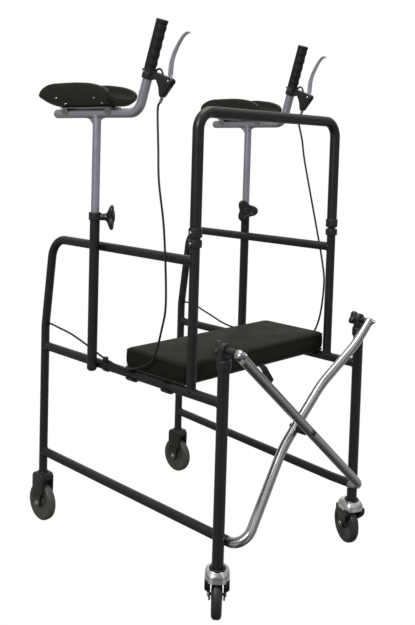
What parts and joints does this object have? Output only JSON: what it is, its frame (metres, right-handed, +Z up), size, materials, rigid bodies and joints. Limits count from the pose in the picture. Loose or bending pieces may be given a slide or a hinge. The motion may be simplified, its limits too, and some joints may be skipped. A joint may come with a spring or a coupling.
{
  "type": "underarm walker",
  "caption": "Folding forearm-rest walker: tube side frames, seat, backrest bar, gutter pads, upright grips with brake levers, fixed rear wheels and swivel front casters.",
  "frame": {"origin": "on the floor, below the middle of the bounding box", "axes": "+Y the way the walker is pushed, +X the user's right, +Z up"},
  "size_m": [0.6732, 0.759, 1.2933],
  "materials": {
    "frame_paint": "satin near-black powder coat",
    "silver_paint": "satin silver-grey paint",
    "chrome": "bright zinc plating with fine lengthwise streaks",
    "lever_metal": "satin",
    "black_plastic": "fine moulded grain",
    "grip_rubber": "matt",
    "pad_cover": "soft moulded foam skin",
    "seat_cover": "dull vinyl",
    "strap_webbing": "woven",
    "grey_tyre": "matt",
    "black_tyre": "matt"
  },
  "bodies": {
    "frame_right": {"rear_leg_right": "frame_paint", "middle_rail_right": "frame_paint", "bottom_rail_right": "frame_paint", "front_leg_right": "frame_paint", "leg_cap_right": "black_plastic", "upright_right": "frame_paint", "upright_collar_right": "black_plastic", "forearm_post_right": "frame_paint", "post_collar_right": "black_plastic", "rear_housing_right": "black_plastic", "brake_cable_right": "grip_rubber"},
    "forearm_right": {"height_tube_right": "silver_paint", "forearm_bar_right": "silver_paint", "pad_plate_right": "black_plastic", "forearm_pad_right": "pad_cover", "grip_right": "grip_rubber", "brake_bracket_right": "black_plastic"},
    "lever_right": {"brake_lever_right": "lever_metal"},
    "shoe_right": {"brake_shoe_right": "grip_rubber"},
    "height_knob_right": {"height_knob_right": "black_plastic"},
    "leg_knob_right": {"leg_knob_right": "black_plastic"},
    "rear_wheel_right": {"rear_hub_right": "black_plastic", "rear_tyre_right": "grey_tyre"},
    "caster_right": {"caster_fork_right": "chrome"},
    "caster_wheel_right": {"caster_wheel_right": "black_tyre"},
    "frame_left": {"rear_leg_left": "frame_paint", "middle_rail_left": "frame_paint", "bottom_rail_left": "frame_paint", "front_leg_left": "frame_paint", "leg_cap_left": "black_plastic", "upright_left": "frame_paint", "upright_collar_left": "black_plastic", "forearm_post_left": "frame_paint", "post_collar_left": "black_plastic", "rear_housing_left": "black_plastic", "brake_cable_left": "grip_rubber"},
    "forearm_left": {"height_tube_left": "silver_paint", "forearm_bar_left": "silver_paint", "pad_plate_left": "black_plastic", "forearm_pad_left": "pad_cover", "grip_left": "grip_rubber", "brake_bracket_left": "black_plastic"},
    "lever_left": {"brake_lever_left": "lever_metal"},
    "shoe_left": {"brake_shoe_left": "grip_rubber"},
    "height_knob_left": {"height_knob_left": "black_plastic"},
    "leg_knob_left": {"leg_knob_left": "black_plastic"},
    "rear_wheel_left": {"rear_hub_left": "black_plastic", "rear_tyre_left": "grey_tyre"},
    "caster_left": {"caster_fork_left": "chrome"},
    "caster_wheel_left": {"caster_wheel_left": "black_tyre"},
    "backrest": {"backrest_bar": "frame_paint", "backrest_ring_right": "black_plastic", "backrest_ring_left": "black_plastic"},
    "seat": {"seat_cushion": "seat_cover", "seat_board": "black_plastic", "pull_strap": "strap_webbing"},
    "brace_lower": {"brace_left": "chrome", "brace_pivot": "black_plastic"},
    "brace_upper": {"brace_right": "chrome"}
  },
  "joints": [
    {"name": "backrest_slide", "type": "slide", "parent": "frame_right", "child": "backrest", "axis": [0, 0, 1], "range_m": [0, 0.045]},
    {"name": "seat_hinge", "type": "hinge", "parent": "frame_right", "child": "seat", "pos_m": [0.25, 0.107, 0.474], "axis": [0, 1, 0], "range_deg": [0, 70]},
    {"name": "fold", "type": "hinge", "parent": "frame_right", "child": "brace_lower", "pos_m": [0.226, 0.3255, 0.172], "axis": [0, 1, 0], "range_deg": [0, 29], "deforming": ["pull_strap"]},
    {"name": "brace_cross", "type": "hinge", "parent": "brace_lower", "child": "brace_upper", "pos_m": [0, 0.3625, 0.3676], "axis": [0, 1, 0], "range_deg": [-58, 0]},
    {"name": "left_frame_hinge", "type": "hinge", "parent": "brace_upper", "child": "frame_left", "pos_m": [-0.226, 0.3255, 0.172], "axis": [0, 1, 0], "range_deg": [0, 29]},
    {"name": "height_slide_right", "type": "slide", "parent": "frame_right", "child": "forearm_right", "axis": [0, 0, 1], "range_m": [-0.08, 0.12], "deforming": ["brake_cable_right"]},
    {"name": "lever_pull_right", "type": "hinge", "parent": "forearm_right", "child": "lever_right", "pos_m": [0.25234, 0.13326, 1.15193], "axis": [0.9959, 0.0906, 0], "range_deg": [0, 20], "stiffness_Nm_per_rad": 1.5, "springref_deg": -5.73},
    {"name": "shoe_press_right", "type": "slide", "parent": "frame_right", "child": "shoe_right", "axis": [0, 0, -1], "range_m": [0, 0.0031]},
    {"name": "height_knob_turn_right", "type": "hinge", "parent": "frame_right", "child": "height_knob_right", "pos_m": [0.2733, -0.097, 0.836], "axis": [-0.7071, 0.7071, 0], "range_deg": [0, 360]},
    {"name": "leg_knob_turn_right", "type": "hinge", "parent": "frame_right", "child": "leg_knob_right", "pos_m": [0.25, 0.3185, 0.588], "axis": [0, 1, 0], "range_deg": [0, 360]},
    {"name": "rear_wheel_spin_right", "type": "hinge", "parent": "frame_right", "child": "rear_wheel_right", "pos_m": [0.25, -0.3295, 0.05], "axis": [1, 0, 0], "continuous": true},
    {"name": "caster_swivel_right", "type": "hinge", "parent": "frame_right", "child": "caster_right", "pos_m": [0.25, 0.3185, 0.05], "axis": [0, 0, 1], "continuous": true},
    {"name": "caster_spin_right", "type": "hinge", "parent": "caster_right", "child": "caster_wheel_right", "pos_m": [0.23382, 0.3036, 0.05], "axis": [-0.6775, 0.7355, 0], "continuous": true},
    {"name": "height_slide_left", "type": "slide", "parent": "frame_left", "child": "forearm_left", "axis": [0, 0, 1], "range_m": [-0.08, 0.12], "deforming": ["brake_cable_left"]},
    {"name": "lever_pull_left", "type": "hinge", "parent": "forearm_left", "child": "lever_left", "pos_m": [-0.25234, 0.13326, 1.15193], "axis": [0.9959, -0.0906, 0], "range_deg": [0, 20], "stiffness_Nm_per_rad": 1.5, "springref_deg": -5.73},
    {"name": "shoe_press_left", "type": "slide", "parent": "frame_left", "child": "shoe_left", "axis": [0, 0, -1], "range_m": [0, 0.0031]},
    {"name": "height_knob_turn_left", "type": "hinge", "parent": "frame_left", "child": "height_knob_left", "pos_m": [-0.2733, -0.097, 0.836], "axis": [0.7071, 0.7071, 0], "range_deg": [0, 360]},
    {"name": "leg_knob_turn_left", "type": "hinge", "parent": "frame_left", "child": "leg_knob_left", "pos_m": [-0.25, 0.3185, 0.588], "axis": [0, 1, 0], "range_deg": [0, 360]},
    {"name": "rear_wheel_spin_left", "type": "hinge", "parent": "frame_left", "child": "rear_wheel_left", "pos_m": [-0.25, -0.3295, 0.05], "axis": [1, 0, 0], "continuous": true},
    {"name": "caster_swivel_left", "type": "hinge", "parent": "frame_left", "child": "caster_left", "pos_m": [-0.25, 0.3185, 0.05], "axis": [0, 0, 1], "continuous": true},
    {"name": "caster_spin_left", "type": "hinge", "parent": "caster_left", "child": "caster_wheel_left", "pos_m": [-0.25997, 0.29889, 0.05], "axis": [-0.8914, 0.4532, 0], "continuous": true}
  ],
  "couplings": [
    {"joint": "brace_cross", "follows": "fold", "ratio": -2},
    {"joint": "left_frame_hinge", "follows": "fold", "ratio": 1},
    {"joint": "shoe_press_right", "follows": "lever_pull_right", "m_per_rad": 0.008594},
    {"joint": "shoe_press_left", "follows": "lever_pull_left", "m_per_rad": 0.008594}
  ]
}
